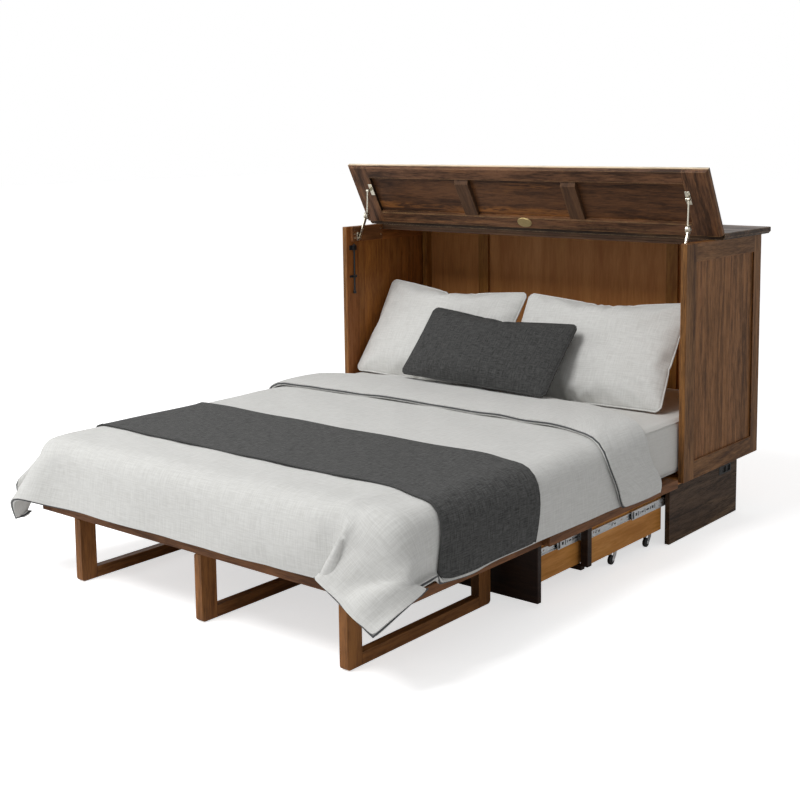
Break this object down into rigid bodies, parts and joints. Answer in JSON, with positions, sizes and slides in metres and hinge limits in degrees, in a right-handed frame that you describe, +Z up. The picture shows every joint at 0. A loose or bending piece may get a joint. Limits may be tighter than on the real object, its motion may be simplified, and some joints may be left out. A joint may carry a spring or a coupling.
{
  "type": "cabinet bed",
  "caption": "Wooden cabinet bed shown open: lifted lid on stays, fold-down platform on sled legs, rolling base drawer, mattress, duvet, runner and pillows.",
  "frame": {"origin": "on the floor under the middle of the opened bed's overall box", "axes": "+X to the right seen from the foot, +Y from the foot to the cabinet's back, +Z up"},
  "size_m": [1.648, 2.194, 1.3068],
  "materials": {
    "cabinet_wood": "dark stained, satin",
    "inner_wood": "warm brown, satin",
    "dark_wood": "dark stained, satin",
    "lid_wood": "dark stained, satin",
    "base_wood": "dark stained, satin",
    "warm_wood": "oiled plywood",
    "leg_wood": "mid brown, satin",
    "drawer_wood": "orange brown plywood, satin",
    "drawer_front_wood": "near black stain, satin",
    "nickel": "satin nickel",
    "slide_steel": "zinc plated",
    "caster_metal": "zinc plated",
    "black_steel": "black, satin",
    "badge_metal": "aged brass",
    "wheel_rubber": "matt",
    "outlet_plastic": "satin black",
    "sheet_fabric": "woven cotton",
    "duvet_fabric": "washed linen weave",
    "runner_fabric": "heavy charcoal weave"
  },
  "bodies": {
    "cabinet": {"side_frame_left": "cabinet_wood", "side_frame_right": "cabinet_wood", "side_panels": "cabinet_wood", "back_panels": "inner_wood", "back_battens_and_posts": "inner_wood", "fixed_top": "cabinet_wood", "hinge_rail": "dark_wood", "stay_cleats": "dark_wood", "stay_anchors_and_screws": "nickel", "base_frame": "base_wood", "base_top": "warm_wood", "inner_deck": "warm_wood", "power_outlet": "outlet_plastic", "cabinet_hinge_leaves": "black_steel", "base_slide_channels": "slide_steel", "latch_guides": "black_steel", "mattress": "sheet_fabric", "duvet": "duvet_fabric", "bed_runner": "runner_fabric", "pillow_left": "duvet_fabric", "pillow_right": "duvet_fabric", "lumbar_cushion": "runner_fabric"},
    "lid": {"lid_board": "lid_wood", "lid_frame": "lid_wood", "lid_battens": "lid_wood", "lid_badge": "badge_metal", "lid_hardware": "nickel"},
    "stay_upper": {"stay_upper_links": "nickel"},
    "stay_lower": {"stay_lower_links": "nickel"},
    "latch_bolts": {"panel_latch_bolts": "black_steel"},
    "front_panel": {"front_panel_frame": "cabinet_wood", "front_panel_boards": "cabinet_wood", "front_panel_hinge_leaves": "black_steel"},
    "foot_panel": {"foot_panel_frame": "leg_wood", "foot_panel_boards": "warm_wood", "foot_panel_hinge_leaves": "black_steel", "arched_crossrail": "leg_wood", "leg_brackets_and_catches": "black_steel"},
    "leg_left": {"leg_left": "leg_wood"},
    "leg_middle": {"leg_middle": "leg_wood"},
    "leg_right": {"leg_right": "leg_wood"},
    "carriage": {"carriage_box": "drawer_wood", "carriage_front_frame": "dark_wood", "carriage_hardware": "slide_steel"},
    "carriage_slide": {"carriage_slide_middles": "slide_steel"},
    "drawer": {"drawer_front": "drawer_front_wood", "drawer_box": "drawer_wood", "drawer_bottom": "drawer_wood", "drawer_caster_forks": "caster_metal", "drawer_slide_rails": "slide_steel"},
    "drawer_slide": {"drawer_slide_middles": "slide_steel"},
    "drawer_wheels": {"drawer_caster_wheels": "wheel_rubber"},
    "fork_front_left": {"caster_fork_front_left": "caster_metal"},
    "wheel_front_left": {"caster_wheel_front_left": "wheel_rubber"},
    "fork_front_right": {"caster_fork_front_right": "caster_metal"},
    "wheel_front_right": {"caster_wheel_front_right": "wheel_rubber"},
    "fork_rear_left": {"caster_fork_rear_left": "caster_metal"},
    "wheel_rear_left": {"caster_wheel_rear_left": "wheel_rubber"},
    "fork_rear_right": {"caster_fork_rear_right": "caster_metal"},
    "wheel_rear_right": {"caster_wheel_rear_right": "wheel_rubber"}
  },
  "joints": [
    {"name": "lid_lift", "type": "hinge", "parent": "cabinet", "child": "lid", "pos_m": [0, 0.717, 1.073], "axis": [1, 0, 0], "range_deg": [0, 62]},
    {"name": "stay_lower_turn", "type": "hinge", "parent": "cabinet", "child": "stay_lower", "pos_m": [0, 0.56, 1], "axis": [1, 0, 0], "range_deg": [-59.05, 0]},
    {"name": "stay_upper_turn", "type": "hinge", "parent": "lid", "child": "stay_upper", "pos_m": [0, 0.60568, 1.19502], "axis": [1, 0, 0], "range_deg": [0, 19.34]},
    {"name": "front_panel_fold", "type": "hinge", "parent": "cabinet", "child": "front_panel", "pos_m": [0, 0.472, 0.217], "axis": [-1, 0, 0], "range_deg": [0, 90], "deforming": ["mattress", "duvet", "bed_runner", "pillow_left", "pillow_right", "lumbar_cushion"]},
    {"name": "foot_panel_fold", "type": "hinge", "parent": "front_panel", "child": "foot_panel", "pos_m": [0, -0.3385, 0.2383], "axis": [-1, 0, 0], "range_deg": [0, 180]},
    {"name": "leg_right_fold", "type": "hinge", "parent": "foot_panel", "child": "leg_right", "pos_m": [0.572, -0.6945, 0.1995], "axis": [0, 1, 0], "range_deg": [0, 90]},
    {"name": "leg_middle_fold", "type": "hinge", "parent": "foot_panel", "child": "leg_middle", "pos_m": [-0.007, -0.6945, 0.1995], "axis": [0, 1, 0], "range_deg": [0, 90]},
    {"name": "leg_left_fold", "type": "hinge", "parent": "foot_panel", "child": "leg_left", "pos_m": [-0.572, -0.6945, 0.1995], "axis": [0, -1, 0], "range_deg": [0, 90]},
    {"name": "carriage_slide", "type": "slide", "parent": "cabinet", "child": "carriage", "axis": [0, 1, 0], "range_m": [0, 0.507]},
    {"name": "carriage_middle_slide", "type": "slide", "parent": "cabinet", "child": "carriage_slide", "axis": [0, 1, 0], "range_m": [0, 0.2535]},
    {"name": "drawer_slide", "type": "slide", "parent": "carriage", "child": "drawer", "axis": [0, 1, 0], "range_m": [0, 0.255]},
    {"name": "drawer_middle_slide", "type": "slide", "parent": "carriage", "child": "drawer_slide", "axis": [0, 1, 0], "range_m": [0, 0.1275]},
    {"name": "caster_swivel_front_left", "type": "hinge", "parent": "carriage", "child": "fork_front_left", "pos_m": [-0.703, 0.178, 0.04], "axis": [0, 0, 1], "continuous": true},
    {"name": "caster_roll_front_left", "type": "hinge", "parent": "fork_front_left", "child": "wheel_front_left", "pos_m": [-0.703, 0.164, 0.016], "axis": [1, 0, 0], "continuous": true},
    {"name": "caster_swivel_front_right", "type": "hinge", "parent": "carriage", "child": "fork_front_right", "pos_m": [0.703, 0.178, 0.04], "axis": [0, 0, 1], "continuous": true},
    {"name": "caster_roll_front_right", "type": "hinge", "parent": "fork_front_right", "child": "wheel_front_right", "pos_m": [0.703, 0.164, 0.016], "axis": [1, 0, 0], "continuous": true},
    {"name": "caster_swivel_rear_left", "type": "hinge", "parent": "carriage", "child": "fork_rear_left", "pos_m": [-0.703, 0.411, 0.04], "axis": [0, 0, 1], "continuous": true},
    {"name": "caster_roll_rear_left", "type": "hinge", "parent": "fork_rear_left", "child": "wheel_rear_left", "pos_m": [-0.703, 0.397, 0.016], "axis": [1, 0, 0], "continuous": true},
    {"name": "caster_swivel_rear_right", "type": "hinge", "parent": "carriage", "child": "fork_rear_right", "pos_m": [0.703, 0.411, 0.04], "axis": [0, 0, 1], "continuous": true},
    {"name": "caster_roll_rear_right", "type": "hinge", "parent": "fork_rear_right", "child": "wheel_rear_right", "pos_m": [0.703, 0.397, 0.016], "axis": [1, 0, 0], "continuous": true},
    {"name": "drawer_wheels_roll", "type": "hinge", "parent": "drawer", "child": "drawer_wheels", "pos_m": [0, 0.099, 0.016], "axis": [1, 0, 0], "continuous": true},
    {"name": "latch_bolt_slide", "type": "slide", "parent": "cabinet", "child": "latch_bolts", "axis": [0, 0, -1], "range_m": [0, 0.02]}
  ],
  "couplings": [
    {"joint": "stay_lower_turn", "follows": "lid_lift", "ratio": -0.95211},
    {"joint": "stay_upper_turn", "follows": "lid_lift", "ratio": 0.31161},
    {"joint": "leg_right_fold", "follows": "foot_panel_fold", "ratio": 0.5},
    {"joint": "leg_middle_fold", "follows": "foot_panel_fold", "ratio": 0.5},
    {"joint": "leg_left_fold", "follows": "foot_panel_fold", "ratio": 0.5},
    {"joint": "carriage_middle_slide", "follows": "carriage_slide", "ratio": 0.5},
    {"joint": "drawer_middle_slide", "follows": "drawer_slide", "ratio": 0.5}
  ]
}
